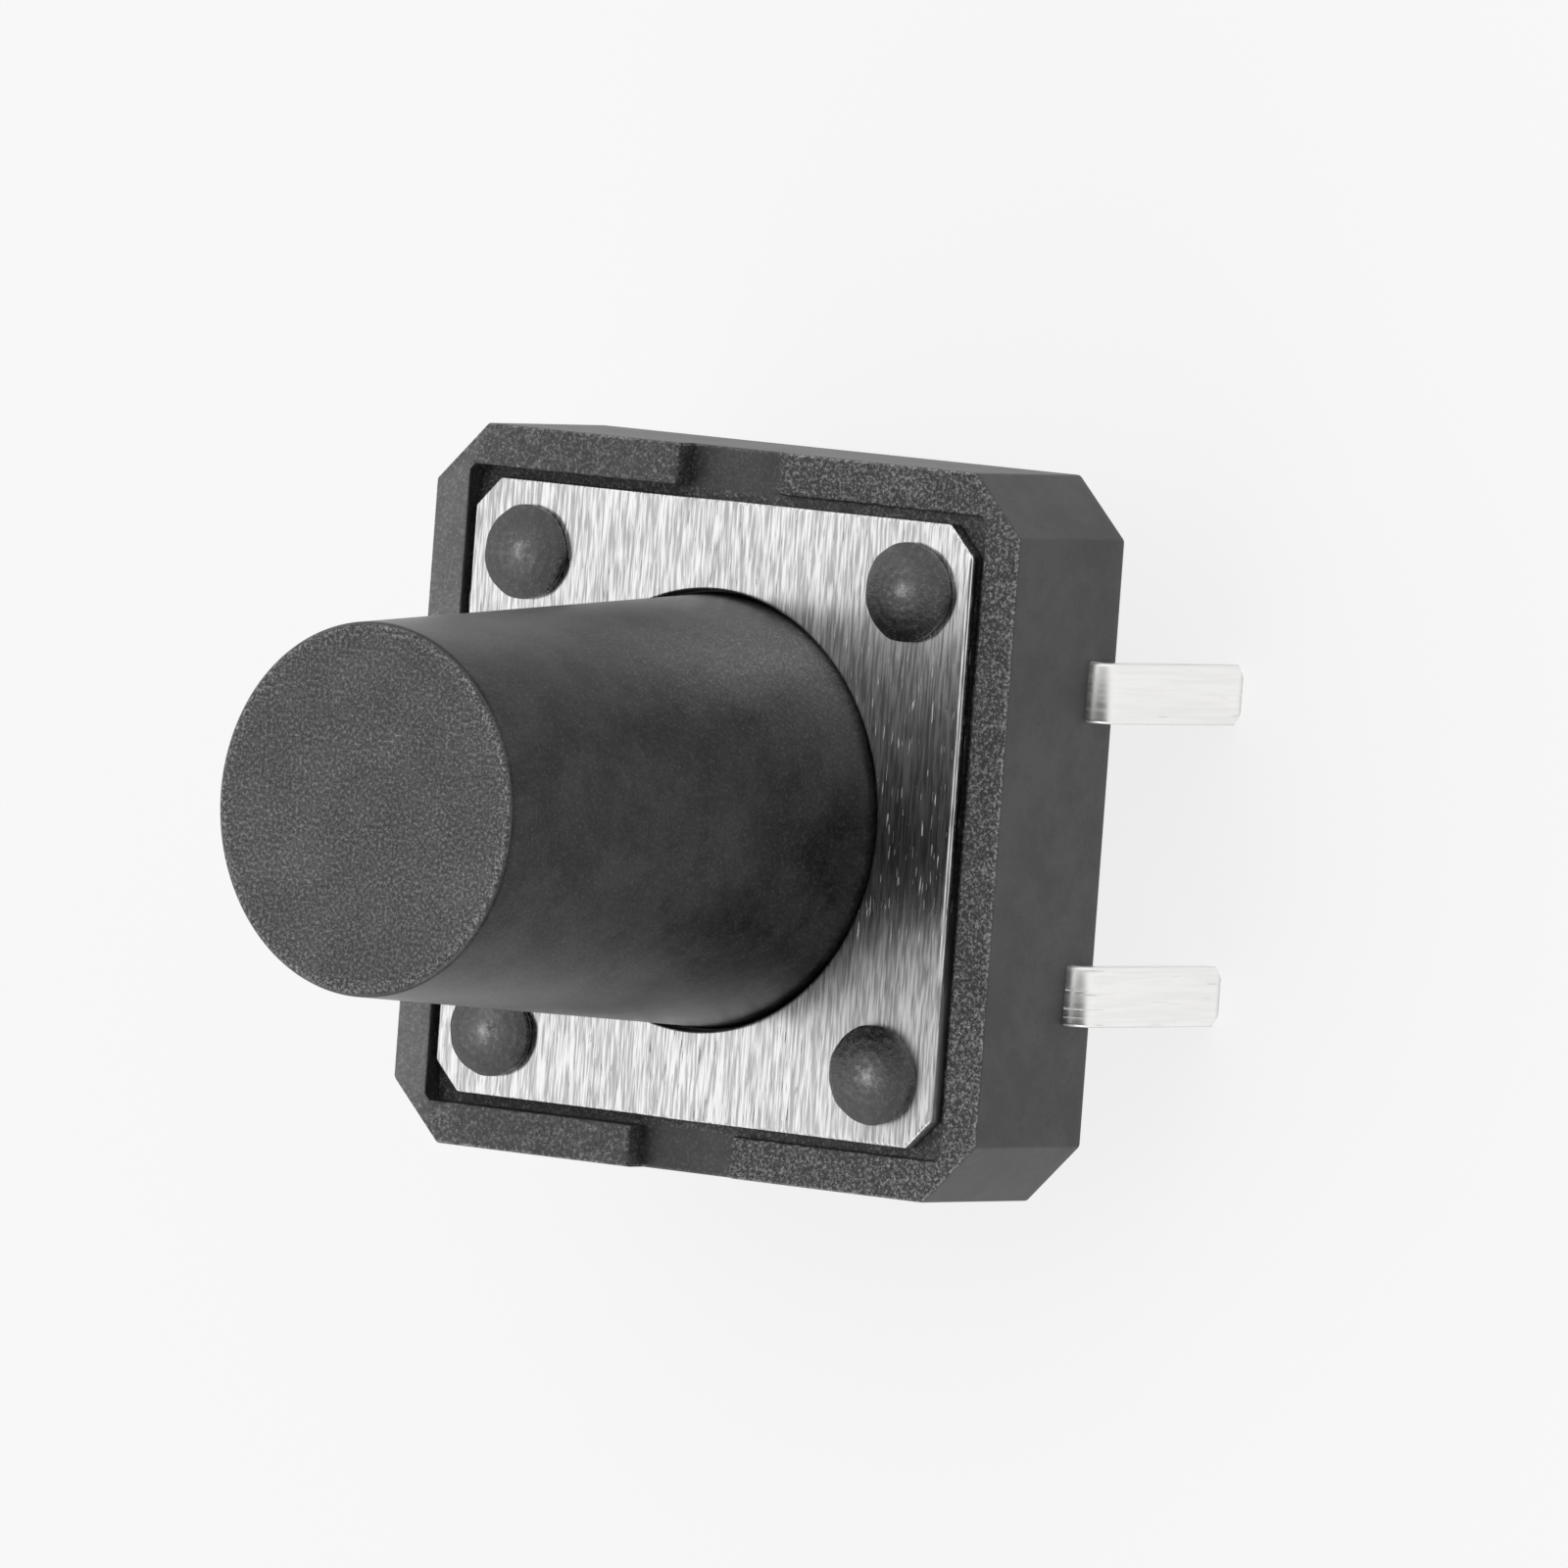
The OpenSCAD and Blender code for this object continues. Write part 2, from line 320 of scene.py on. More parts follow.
# Glass-filled plastic as it leaves a grained mould: pits between small pale crests, slow changes of tone
# where the melt flowed, and a faint pale mottle. The crests' pale colour is partly the plastic's own and
# partly painted glints. Grain is 0 where the mould is polished, 1 where it is etched, and more where a
# painted highlight is laid over the crests. Pale is the share of the crests' colour laid over all, and
# Mottle the most that its clouds add to it. Size is the number of crests to the millimetre.
moulded, given, out = effect("moulded grain", [
    ("Vector", vector, None), ("Grain", number, 1.0), ("Pale", number, 0.0), ("Size", number, 17.0),
    ("Smooth", number, 0.4), ("Dull", number, 0.76), ("Bright", number, 1.24), ("Mottle", number, 0.0),
    ("Base", colour, (0.001, 0.001, 0.002, 1)), ("Crest", colour, (0.4, 0.4, 0.4, 1))],
    [("Colour", colour), ("Roughness", number), ("Height", number)])
fine = noise(moulded, given["Vector"], scale=given["Size"], detail=3.0, roughness=0.9)
crests = ramp(moulded, fine, 0.5, 0.7)
pits = ramp(moulded, fine, 0.5, 0.34)
flow = noise(moulded, given["Vector"], scale=0.5, detail=5.0, roughness=0.6)
tone = ramp(moulded, flow, 0.3, 0.7, low=given["Dull"], high=given["Bright"])
haze = noise(moulded, given["Vector"], scale=1.1, detail=5.0, roughness=0.7)
clouds = ramp(moulded, haze, 0.4, 0.6)
washed = sums(moulded, "MULTIPLY_ADD", clouds, given["Mottle"], given["Pale"])
# The crests are painted pale: partly the plastic's own colour, partly painted glints of their facets.
spread = sums(moulded, "MULTIPLY_ADD", crests, 0.9, 0.03)
crest_and_glint_share = sums(moulded, "MULTIPLY_ADD", spread, given["Grain"], washed)
pit_share = sums(moulded, "MULTIPLY", pits, sums(moulded, "MINIMUM", given["Grain"], 1.0))
sunk = sums(moulded, "MULTIPLY_ADD", pit_share, -0.6, 1.0)
lit = mix(moulded, crest_and_glint_share, given["Base"], given["Crest"])
tinted = put(moulded, "ShaderNodeVectorMath", {0: lit, "Scale": sums(moulded, "MULTIPLY", sunk, tone)},
             operation="SCALE")
rough = ramp(moulded, given["Grain"], 0.0, 1.0, low=given["Smooth"], high=0.48)
relief = sums(moulded, "MULTIPLY_ADD", given["Grain"], 0.9, 0.1)
feed(moulded, out, {"Colour": tinted.outputs[0],
                    "Roughness": sums(moulded, "MULTIPLY_ADD", flow, 0.1, rough),
                    "Height": sums(moulded, "MULTIPLY", fine, relief)})


def mark(tree, label):
    """The value that a mark of this name has at each place of the piece."""
    return put(tree, "ShaderNodeAttribute", {}, attribute_name=label).outputs["Fac"]


def moulded_finish(tree, shader, place, depth, **sockets):
    """Wires the moulded grain into a shader, with the piece's marks: colour, roughness, and a bump of
    the given depth in metres."""
    grained = use(tree, moulded, {"Vector": place, "Grain": mark(tree, "grain"), "Pale": mark(tree, "pale"),
                                  **sockets})
    bump = put(tree, "ShaderNodeBump", {"Height": grained.outputs["Height"], "Strength": 0.6,
                                        "Distance": depth})
    feed(tree, shader, {"Base Color": grained.outputs["Colour"],
                        "Roughness": grained.outputs["Roughness"], "Normal": bump.outputs[0]})


housing_black, tree, shader, mm = material("housing_plastic", Specular_IOR_Level=0.82)
moulded_finish(tree, shader, mm, depth=0.00005, Mottle=0.045)
housing.data.materials.append(housing_black)

# Terminals. Two contacts stamped from silver-plated brass strip and moulded into the housing. Each strip
# leaves the housing through both walls and is bent down into a leg at each end. Inside, the outer one
# has two arms with pads for the dome's edge, and the other a tongue with the centre contact.

strip_t = 0.3
leg_width = 1.0
leg_x = 6.25
bend_radius = 0.25
wide_edge = 0.06
close_edge = 0.025
leg_tip_z = -3.0
leg_cut = 0.16
arm_width = 1.0
arm_end_y = -0.9
pad_radius = 0.45
pad_rise = 0.1
tongue_half = 0.7
tongue_disc = 1.2
centre_radius = 0.7
centre_rise = 0.2
pad_sunk = 0.1


def strip_path():
    """Middle line of a bent strip in the XZ plane, with the strip's half width at each point: up one leg,
    round a quarter circle, across the housing, and down again. The half width falls over the cut tips."""
    tip = np.array([0.0, 0.01, 0.03, leg_cut, leg_cut + 0.03, 0.6])
    leg_z = leg_tip_z + tip
    half = np.interp(tip, [0, 0.01, 0.03, leg_cut, 1], [0.31, 0.335, 0.36, 0.5, 0.5]) * leg_width
    bend = np.radians(np.linspace(180, 90, 13))
    bend_z = strip_z + strip_t / 2 - bend_radius
    rise_x = np.concatenate([np.full(len(tip), -leg_x), bend_radius * np.cos(bend) - leg_x + bend_radius])
    rise_z = np.concatenate([leg_z, bend_radius * np.sin(bend) + bend_z])
    half = np.concatenate([half, np.full(len(bend), 0.5 * leg_width)])
    return (np.concatenate([rise_x, -rise_x[::-1]]), np.concatenate([rise_z, rise_z[::-1]]),
            np.concatenate([half, half[::-1]]))


def bent_strip(y):
    """Rounded rectangle carried along the strip's middle line. Across the strip a point is at
    half width times u, and through it at the thickness times v along the line's normal, so the corners
    keep their rounding, which is wider on the face that the punch met. Each end shrinks a little and
    closes on its middle."""
    x, z, half = strip_path()
    along = np.gradient(np.stack([x, z], 1), axis=0)
    along /= np.linalg.norm(along, axis=1)[:, None]
    corner = np.radians(np.linspace(0, 90, 5))
    arc = np.stack([np.cos(corner), np.sin(corner)], 1)
    signs = [(1, 1), (-1, 1), (-1, -1), (1, -1)]
    turn = [arc * s for s in signs]
    arcs = np.concatenate([turn[0], turn[1][::-1], turn[2], turn[3][::-1]])
    edge = np.where(arcs[:, 1] > 0, wide_edge, close_edge)
    side = np.repeat(signs, 5, axis=0)
    across = side[:, 0] * (half[:, None] - edge) + arcs[:, 0] * edge
    from_end = np.minimum(np.arange(len(x)), np.arange(len(x))[::-1])
    end = np.interp(from_end, [0, 1, 2], [0.72, 0.92, 1.0])
    through = (side[:, 1] * (strip_t / 2 - edge) + arcs[:, 1] * edge) * end[:, None]
    points = np.stack([x[:, None] - along[:, 1:] * through, y + across,
                       z[:, None] + along[:, :1] * through], 2)
    first, last = points[0].mean(0), points[-1].mean(0)
    return band([np.broadcast_to(first, points[0].shape), *points,
                 np.broadcast_to(last, points[0].shape)])


def slab(outline, low, high, edge=0.03):
    """A flat plate from a function that gives its outline for an inset, with quarter-round edges of
    radius edge above and below. Both flats are left open for piece to fill."""
    steps = np.radians(np.linspace(0, 90, 4))
    under = [ring(outline(edge * (1 - np.sin(a))), low + edge * (1 - np.cos(a))) for a in steps]
    over = [ring(outline(edge * (1 - np.cos(a))), high - edge * (1 - np.sin(a))) for a in steps]
    return band([ring(outline(edge + 0.04), low), *under, *over, ring(outline(edge + 0.04), high)])


def bar(x, y_from, y_to, width):
    """Outline of a straight arm along Y as a function of its inset, with corners cut very slightly."""
    none = np.array([0.0])
    return lambda d: (np.array([(x, (y_from + y_to) / 2)])
                      + cut_square(width / 2 - d, (y_to - y_from) / 2 - d, 0.1, 0.05, none, none))


def disc(radius):
    """Outline of a round pad about the origin as a function of its inset."""
    return lambda d: circle(0, 0, radius - d)


def moved(surface, x):
    """A surface shifted along X."""
    return surface[0] + np.array([x, 0, 0]), surface[1]


def tongue_outline(inset):
    """Outline of the tongue, moved inwards: an arm from the strip towards the origin, and round the
    origin a disc. The arm's sides meet the circle at the angle below the X axis whose cosine is
    half width / radius."""
    half, radius = tongue_half - inset, tongue_disc - inset
    meet = math.acos(half / radius)
    turn = np.linspace(-meet, math.pi + meet, 49)
    end = -row_y + inset
    return np.concatenate([radius * np.stack([np.cos(turn), np.sin(turn)], 1), [(-half, end), (half, end)]])


top = strip_z + strip_t
arms = [slab(bar(x * arm_x, arm_end_y, row_y, arm_width), strip_z, top) for x in (-1, 1)]
pads = [moved(slab(disc(pad_radius), top - pad_sunk, top + pad_rise, edge=0.05), x * arm_x)
        for x in (-1, 1)]
outer = piece("outer_contact", join(bent_strip(row_y), *arms, *pads), "base",
              flats=[strip_z, top, top - pad_sunk, top + pad_rise])
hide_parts("outer_terminal")
tongue = slab(tongue_outline, strip_z, top)
centre_pad = slab(disc(centre_radius), top - pad_sunk, top + centre_rise, edge=0.08)
centre = piece("centre_contact", join(bent_strip(-row_y), tongue, centre_pad), "base",
               flats=[strip_z, top, top - pad_sunk, top + centre_rise])
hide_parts("centre_terminal")

# Metal that has been drawn or brushed in one direction: close lines, and separate longer scratches. Width
# and length are those of one line in millimetres, along X and Y of the vector that comes in. Patches are
# slow changes of tone over all.
brushed, given, out = effect("brushed lines", [
    ("Vector", vector, None), ("Width", number, 0.05), ("Length", number, 0.8)],
    [("Lines", number), ("Scratches", number), ("Patches", number)])
per_width = sums(brushed, "DIVIDE", 1.0, given["Width"])
per_length = sums(brushed, "DIVIDE", 1.0, given["Length"])
scale = put(brushed, "ShaderNodeCombineXYZ", {0: per_width, 1: per_length, 2: per_width})
drawn = put(brushed, "ShaderNodeVectorMath", {0: given["Vector"], 1: scale.outputs[0]},
            operation="MULTIPLY").outputs[0]
# The scratches come from other places of the noise, a little finer than the lines.
shifted = put(brushed, "ShaderNodeVectorMath", {0: drawn, 1: (31.0, 7.0, 0.0)}, operation="ADD")
finer = put(brushed, "ShaderNodeMapping", {"Vector": shifted.outputs[0], "Scale": (1.1, 1.3, 1.1)})
nicks = noise(brushed, finer.outputs[0], scale=1.0, detail=1.0)
feed(brushed, out, {"Lines": noise(brushed, drawn, scale=1.0, detail=1.5, roughness=0.55),
                    "Scratches": ramp(brushed, nicks, 0.69, 0.71),
                    "Patches": noise(brushed, given["Vector"], scale=0.7, detail=2.0)})


def brushed_finish(tree, shader, place, width, length, dark, light, smooth, rough, depth):
    """Wires the brushed lines into a metal: over the lines the colour runs from dark to light and the
    roughness from smooth to rough, scratches are rougher still, and lines and scratches cut in by the
    depth in metres. Gives back the colour and the roughness."""
    metal = use(tree, brushed, {"Vector": place, "Width": width, "Length": length}).outputs
    spread = ramp(tree, metal["Lines"], 0.38, 0.62)
    toned = sums(tree, "MULTIPLY_ADD", metal["Patches"], 0.25, spread)
    eased = sums(tree, "SUBTRACT", toned, 0.125, use_clamp=True)
    tint = mix(tree, eased, dark, light)
    worn = sums(tree, "MULTIPLY_ADD", metal["Scratches"], 0.7, ramp(tree, spread, 0.0, 1.0, smooth, rough))
    cut = sums(tree, "MULTIPLY_ADD", metal["Scratches"], 3.0, metal["Lines"])
    bump = put(tree, "ShaderNodeBump", {"Height": cut, "Strength": 0.7, "Distance": depth})
    feed(tree, shader, {"Base Color": tint, "Roughness": worn, "Normal": bump.outputs[0]})
    return tint, worn


# The lines run along the strip: the vector is turned until its Y follows the legs, and along X, which the
# strip's flat follows, it is stretched.
plated, tree, shader, mm = material("plated_terminal", Metallic=1.0)
lengthwise = put(tree, "ShaderNodeMapping", {"Vector": mm, "Rotation": (math.radians(90), 0, 0),
                                             "Scale": (0.04, 1, 1)})
brushed_finish(tree, shader, lengthwise.outputs[0], width=0.07, length=1.5, dark=(0.92, 0.915, 0.9, 1),
               light=(0.98, 0.975, 0.965, 1), smooth=0.3, rough=0.4, depth=0.0000003)
outer.data.materials.append(plated)
centre.data.materials.append(plated)

# Contact dome. A disc of thin stainless spring sheet, pressed into a shallow cap. Its edge rests on the
# outer contact's pads, and the plunger's nub snaps its middle down onto the centre contact.

dome_radius = 3.697
dome_height = 0.48
dome_t = 0.1


def turned(r, z, count):
    """Profile (r, z) turned once round Z, as a band of rings, each a circle of radius r at height z."""
    return band([ring(circle(0, 0, max(a, tiny), count), b) for a, b in zip(r, z)])


def dome_sheet():
    """Spherical cap turned round Z. A cap of base radius a and height h belongs to a sphere of radius
    (a * a + h * h) / (2 h); the lower face lies on the sphere that is smaller by the sheet's thickness,
    and the two meet in a rounded edge."""
    sphere = (dome_radius ** 2 + dome_height ** 2) / (2 * dome_height)
    lift = well_z + dome_height - sphere
    over = np.linspace(0.0, dome_radius - 0.02, 30)
    under = np.linspace(dome_radius - 0.06, 0.0, 30)
    z_over = lift + np.sqrt(sphere ** 2 - over ** 2)
    z_under = np.maximum(lift + np.sqrt((sphere - dome_t) ** 2 - under ** 2), well_z)
    edge_r = np.array([dome_radius, dome_radius - 0.005])
    edge_z = np.array([well_z + 0.04, well_z + 0.008])
    r, z = np.concatenate([over, edge_r, under]), np.concatenate([z_over, edge_z, z_under])
    return turned(r, z, count=96)


dome = piece("snap_dome", dome_sheet(), "base")
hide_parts("contact_dome")
spring, tree, shader, mm = material("dome_steel", Metallic=1.0)
brushed_finish(tree, shader, mm, width=0.04, length=2.0, dark=(0.56, 0.56, 0.57, 1),
               light=(0.66, 0.66, 0.67, 1), smooth=0.18, rough=0.28, depth=0.000001)
dome.data.materials.append(spring)
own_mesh(dome)

# Plunger. The push button, moulded in black plastic: a flange that the cover plate keeps in, a nub below
# it, and a long stem that narrows to a flat grained tip. The stem is smooth from its draught in the mould.

tip_z = 12.0
tip_radius = 3.052
tip_edge = 0.12
base_radius = 3.577
flange_radius = 4.197
flange_low = 1.91
flange_high = 2.76
flange_edge = 0.08
nub_z = 1.35
nub_radius = 0.9
nub_edge = 0.2
stem_count = 160
stem_grain = 0.12
patch_at = 0.9
patch_width = 0.32


def rounded(r, z, radius, start, stop, steps=6):
    """Points of an arc about (r, z), from the start angle to the stop angle in degrees."""
    a = np.radians(np.linspace(start, stop, steps))
    return np.stack([r + radius * np.cos(a), z + radius * np.sin(a)], 1)


def straight(start, stop, steps):
    """Points on the line from start to stop, closer together at its two ends."""
    share = (1 - np.cos(np.linspace(0, np.pi, steps))) / 2
    return np.array(start) + np.outer(share, np.array(stop) - np.array(start))


profile = np.concatenate([
    [(0, nub_z), (nub_radius - 0.3, nub_z)],
    rounded(nub_radius - nub_edge, nub_z + nub_edge, nub_edge, -90, 0),
    [(nub_radius, flange_low - 0.05), (nub_radius + 0.05, flange_low), (flange_radius - 0.15, flange_low)],
    rounded(flange_radius - flange_edge, flange_low + flange_edge, flange_edge, -90, 0),
    rounded(flange_radius - flange_edge, flange_high - flange_edge, flange_edge, 0, 90),
    [(flange_radius - 0.15, flange_high), (base_radius + 0.03, flange_high),
     (base_radius, flange_high + 0.03)],
    straight((base_radius, flange_high + 0.08), (tip_radius + 0.004, tip_z - 0.2), steps=24),
    rounded(tip_radius - tip_edge, tip_z - tip_edge, tip_edge, 3, 90, steps=10),
    [(tip_radius - 0.14, tip_z), (tip_radius - 0.3, tip_z), (1.5, tip_z), (0, tip_z)]])
# The tip is grained and a little pale, and its rounded edge is grained more strongly, which paints a paler
# ring there: a painted highlight. The stem has hardly any grain.
r, z = profile[:, 0], profile[:, 1]
tip_grain = np.interp(r, [tip_radius - 0.17, tip_radius - 0.1, tip_radius - 0.03], [0.75, 2.0, stem_grain])
by_ring = np.where(z > tip_z - 0.1, tip_grain, stem_grain)
tip_pale = np.where((z > tip_z - 0.1) & (r < tip_radius - 0.03), 0.125, 0.0)
# A patch of the stem is grained, and painted paler there: a painted reflection. The patch is a bell, by
# the angle in radians round the stem, that fades out upwards.
stem = turned(r, z, stem_count)
x, y, z = stem[0].T
patch = np.exp(-((np.arctan2(y, x) - patch_at) / patch_width) ** 2)
patch = patch * np.interp(z, [3.0, 5.5, 8.5], [1.0, 0.9, 0.0])
plunger = piece("push_button", stem, "button",
                marks={"grain": np.repeat(by_ring, stem_count) + 0.4 * patch,
                       "pale": np.repeat(tip_pale, stem_count) + 0.25 * patch})
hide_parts("plunger")

plunger_black, tree, shader, mm = material("plunger_plastic", Specular_IOR_Level=0.32)
moulded_finish(tree, shader, mm, depth=0.00002, Smooth=0.26, Dull=0.84, Bright=1.16, Mottle=0.045)
plunger.data.materials.append(plunger_black)

# Cover plate. Stamped from stainless sheet that was brushed in one direction, with cut corners, a large
# hole for the stem and a small one for each post. Stamping rolls its upper edges over and leaves the
# lower sharp.

plate_top = 3.08
plate_x = 5.2
plate_y = 5.13
plate_cut = 0.5
plate_corner = 0.1
plate_roll = 0.07
hole_roll = 0.04
lower_edge = 0.015
stem_hole = 3.645
post_hole = 0.55
post_at = 4.0


def plate_outline(inset):
    """The plate's outer edge, moved into the metal. The cut shortens by (2 - sqrt 2) times the inset."""
    cut = plate_cut - 0.586 * inset
    return cut_square(plate_x - inset, plate_y - inset, cut, plate_corner, side_stops, side_stops)


def stamped_edge(outline, pulled):
    """Side of the sheet along one outline, from the lower flat to the upper one: a small radius below, and
    above a wider one, as far in as the punch pulled the sheet down."""
    low = [ring(outline(lower_edge * (1 - np.sin(a))), seat_z + lower_edge * (1 - np.cos(a)))
           for a in quarter]
    high = [ring(outline(pulled * (1 - np.cos(a))), plate_top - 0.7 * pulled * (1 - np.sin(a)))
            for a in quarter]
    return band([ring(outline(0.05), seat_z), *low, *high, ring(outline(pulled + 0.03), plate_top)])


def round_hole(x, y, radius, count):
    """A hole's edge about (x, y): moved into the metal, it grows."""
    return lambda inset: circle(x, y, radius + inset, count)


edges = [stamped_edge(plate_outline, plate_roll), stamped_edge(round_hole(0, 0, stem_hole, 160), hole_roll)]
edges += [stamped_edge(round_hole(x * post_at, y * post_at, post_hole, 40), hole_roll)
          for x in (-1, 1) for y in (-1, 1)]
sheet = join(*edges)
# The brushed face keeps its colour, and the cut sides of the sheet are painted near black: painted shade
# and a painted dark reflection of the black rim.
unshaded_face = np.interp(sheet[0][:, 2], [plate_top - 0.06, plate_top - 0.045], [0.0, 1.0])
plate = piece("cover_sheet", sheet, "base", flats=[seat_z, plate_top],
              marks={"bright": unshaded_face})
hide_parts("cover_plate")

steel, tree, shader, mm = material("brushed_plate", Metallic=1.0)
face, lines_rough = brushed_finish(tree, shader, mm, width=0.036, length=0.6, dark=(0.46, 0.46, 0.46, 1),
                                   light=(0.94, 0.94, 0.94, 1), smooth=0.2, rough=0.22, depth=0.0000006)
# Near black for the sides of the sheet: painted shade.
sheared_edge_shade = (0.1, 0.1, 0.1, 1)
# The brush cut more coarsely towards -Y on the +X side, so the roughness grows there by up to 0.32.
place = put(tree, "ShaderNodeSeparateXYZ", {0: mm}).outputs
to_front = ramp(tree, place["Y"], -0.3, -3.5, high=0.32, interpolation_type="SMOOTHSTEP")
to_right = ramp(tree, place["X"], 2.2, 4.2, interpolation_type="SMOOTHSTEP")
feed(tree, shader, {"Roughness": sums(tree, "MULTIPLY_ADD", to_front, to_right, lines_rough),
                    "Base Color": mix(tree, mark(tree, "bright"), sheared_edge_shade, face)})
plate.data.materials.append(steel)

# Melted posts. Four round posts of the housing go through the plate, and a hot tool melts each end down
# into a low button. The plastic creeps outwards under the tool, which leaves each rim a little uneven and
# pulls a small pale teat up in the middle.

# For each post, by the signs of its place: the head's radius along X, and how far it crept along Y.
heads = {(-1, 1): (0.83, -0.07), (1, 1): (0.86, -0.05), (1, -1): (0.87, 0.0), (-1, -1): (0.82, -0.03)}
head_oval = 0.94
head_side = 0.12
head_height = 0.24
teat_height = 0.04
teat_radius = 0.12
dip_at = 0.24
dip_depth = 0.016
ripple_height = 0.012
post_radius = 0.5
post_low = seat_z - 0.05 - plate_top


def melted_post(x, y, radius, creep, seed):
    """Post about (x, y) and its head about (x, y + creep), as rings. The head is narrower along Y by the
    oval's share, and its side is upright. Its top is
    z = side + (height - side) * (1 - s ** 1.9) ** 0.75 at s = r / radius, which turns over steeply at the
    edge. A bell in the middle is the teat, a shallow ring-shaped dip lies round it, and a ripple
    height * cos(9 pi s + 0.4 cos(angle)) * (1 - s) * s runs over the rest. Round the head, radius and
    height change by a few hundredths, as a sum of cosines with seeded phases."""
    phase = np.random.default_rng(seed).uniform(0, 2 * np.pi, 6)
    around = np.linspace(0, 2 * np.pi, 96, endpoint=False)
    swell = 1 + sum(size * np.cos(waves * around + phase[k])
                    for k, (waves, size) in enumerate([(2, 0.014), (3, 0.008), (7, 0.006), (13, 0.004)]))
    s = np.cos(np.radians(np.linspace(0, 90, 40)))[:, None]
    lean = 1 + 0.08 * s * np.cos(around + phase[4])
    r = radius * s * swell
    z = head_side + (head_height - head_side) * (1 - s ** 1.9) ** 0.75 * lean
    z = z - dip_depth * np.exp(-((r - dip_at) / 0.09) ** 2) + teat_height * np.exp(-(r / teat_radius) ** 2)
    z = z + ripple_height * np.cos(9 * s * np.pi + phase[5] + 0.4 * np.cos(around)) * (1 - s) * s
    shank = np.array([(tiny, post_low), (post_radius, post_low), (post_radius, 0.0),
                      (radius * 0.94, 0.0), (radius * 0.985, 0.02), (radius, 0.07)])
    r = np.concatenate([shank[:, :1] * np.where(shank[:, :1] > post_radius, swell, 1.0), r])
    z = np.concatenate([np.broadcast_to(shank[:, 1:], (len(shank), len(around))), z])
    of_head = np.where(np.arange(len(r)) < 3, 0.0, 1.0)[:, None]
    across = (1 + (head_oval - 1) * of_head) * r * np.sin(around) + creep * of_head
    return band(list(np.stack([x + r * np.cos(around), y + across, plate_top + z], 2)))


stakes = join(*[melted_post(x * post_at, y * post_at, radius, creep, seed)
                for seed, ((x, y), (radius, creep)) in enumerate(heads.items())])
# The plastic turns paler where the tool pinched it: most on the teat, and less and less round it.
teats = np.array([(x * post_at, y * post_at + creep) for (x, y), (_, creep) in heads.items()])
off = np.linalg.norm(stakes[0][:, None, :2] - teats, axis=2).min(axis=1)
pinched = 0.24 * np.exp(-(off / 0.3) ** 2) + 0.7 * np.exp(-(off / 0.1) ** 2)
posts = piece("melted_posts", stakes, "base",
              marks={"grain": 0.18 + 0.7 * np.exp(-(off / 0.25) ** 2), "pale": pinched})
melted_black, tree, shader, mm = material("melted_plastic", Specular_IOR_Level=0.9)
moulded_finish(tree, shader, mm, depth=0.0001, Size=11.0, Smooth=0.12, Dull=0.5, Bright=1.5,
               Mottle=0.055, Crest=(0.44, 0.44, 0.44, 1))
posts.data.materials.append(melted_black)

# Studio. A wide pale floor under the legs' tips, an even pale sky that dims to a tenth towards +X, -Y and
# upwards, and one low softbox in front. The camera looks down through a long lens. Sizes are in metres.

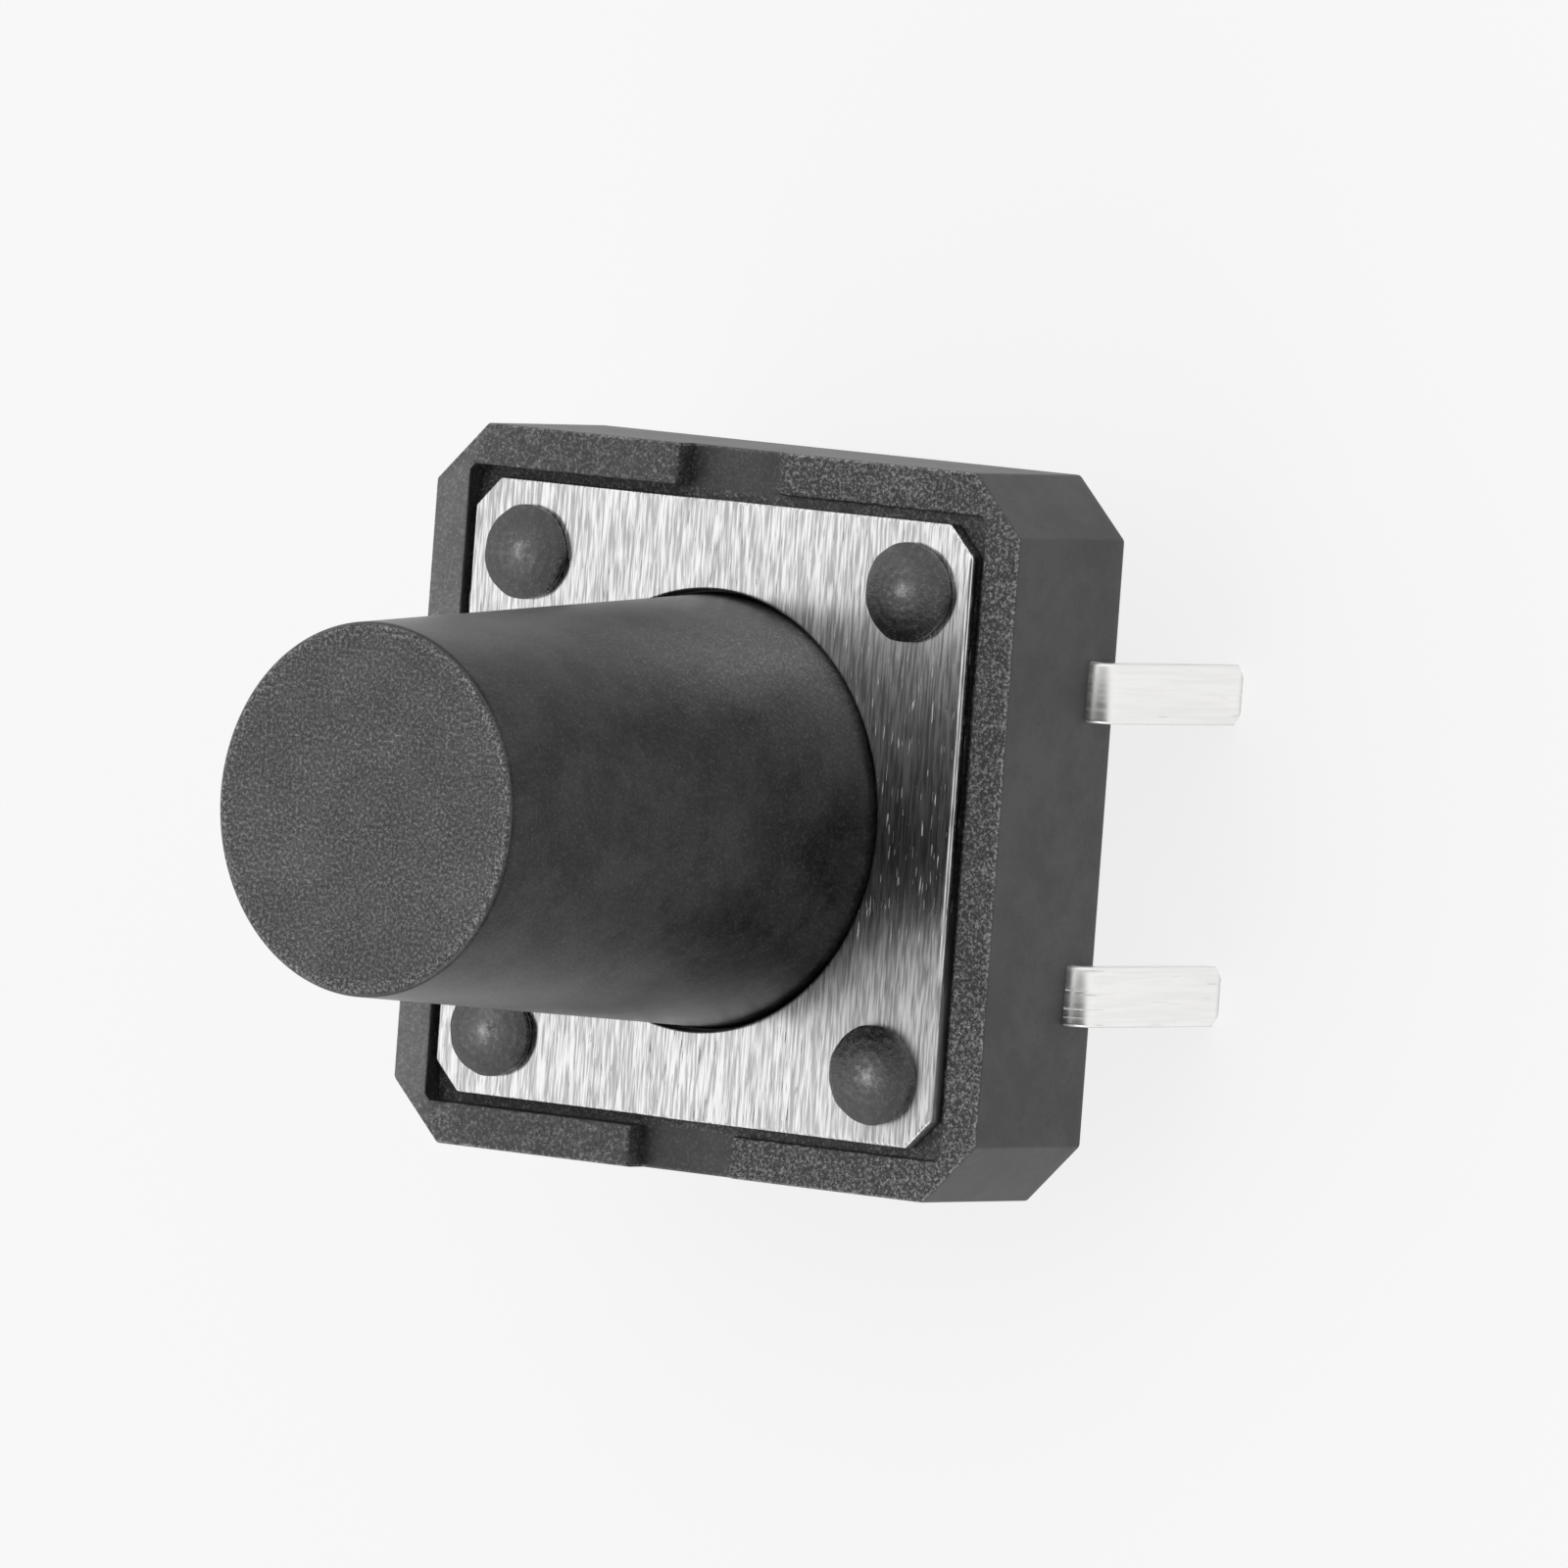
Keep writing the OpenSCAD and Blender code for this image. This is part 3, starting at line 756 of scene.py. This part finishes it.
floor_half = 3
floor_z = leg_tip_z * 0.001
floor_mesh = bpy.data.meshes.new("floor")
floor_mesh.from_pydata([(x * floor_half, y * floor_half, floor_z)
                        for x, y in ((-1, -1), (1, -1), (1, 1), (-1, 1))], [], [(0, 1, 2, 3)])
floor = bpy.data.objects.new("floor", floor_mesh)
bpy.context.scene.collection.objects.link(floor)
paper, tree, shader, mm = material("floor_paper", Roughness=0.9, Specular_IOR_Level=0.0)
shader.inputs["Base Color"].default_value = (0.913, 0.913, 0.913, 1)
# Seen directly, or in a polished face, the paper shows mostly an even white. It still takes the light for
# the rest, and throws its own light back on the part as any paper does.
rays = put(tree, "ShaderNodeLightPath", {}).outputs
looked_at = sums(tree, "MAXIMUM", rays["Is Camera Ray"], rays["Is Glossy Ray"])
seen = sums(tree, "MAXIMUM", looked_at, rays["Is Transmission Ray"])
glow = put(tree, "ShaderNodeEmission", {"Color": (0.99, 0.99, 0.99, 1), "Strength": 1.0})
blend = put(tree, "ShaderNodeMixShader", {0: sums(tree, "MULTIPLY", seen, 0.8), 1: shader.outputs[0],
                                          2: glow.outputs[0]})
tree.links.new(blend.outputs[0], tree.nodes["Material Output"].inputs["Surface"])
floor_mesh.materials.append(paper)

world = bpy.data.worlds.new("studio")
bpy.context.scene.world = world
world.use_nodes = True
tree = world.node_tree
towards = put(tree, "ShaderNodeTexCoord", {}).outputs["Generated"]
facing = put(tree, "ShaderNodeVectorMath", {0: towards, 1: (0.5, -0.5, 0.707)}, operation="DOT_PRODUCT")
dimmed = ramp(tree, facing.outputs["Value"], 0.68, 0.9, low=1.0, high=0.1, interpolation_type="SMOOTHSTEP")
feed(tree, tree.nodes["Background"], {"Strength": dimmed, "Color": (1, 1, 1, 1)})

lamp_data = bpy.data.lights.new("low_softbox", "AREA")
lamp_data.size = 0.5
lamp_data.energy = 1.6
lamp = bpy.data.objects.new("low_softbox", lamp_data)
lamp.location = (0.1, -0.7, 0.12)
lamp.rotation_euler = (-lamp.location).to_track_quat("-Z", "Y").to_euler()
bpy.context.scene.collection.objects.link(lamp)

camera_data = bpy.data.cameras.new("camera")
camera_data.sensor_width = 36
camera_data.lens = 597
camera = bpy.data.objects.new("camera", camera_data)
camera.location = (0.26173, 0.02336, 0.34156)
camera.rotation_euler = [math.radians(a) for a in (0.1788, 37.6405, 5.2972)]
bpy.context.scene.collection.objects.link(camera)
bpy.context.scene.camera = camera
bpy.context.scene.view_settings.view_transform = "Standard"
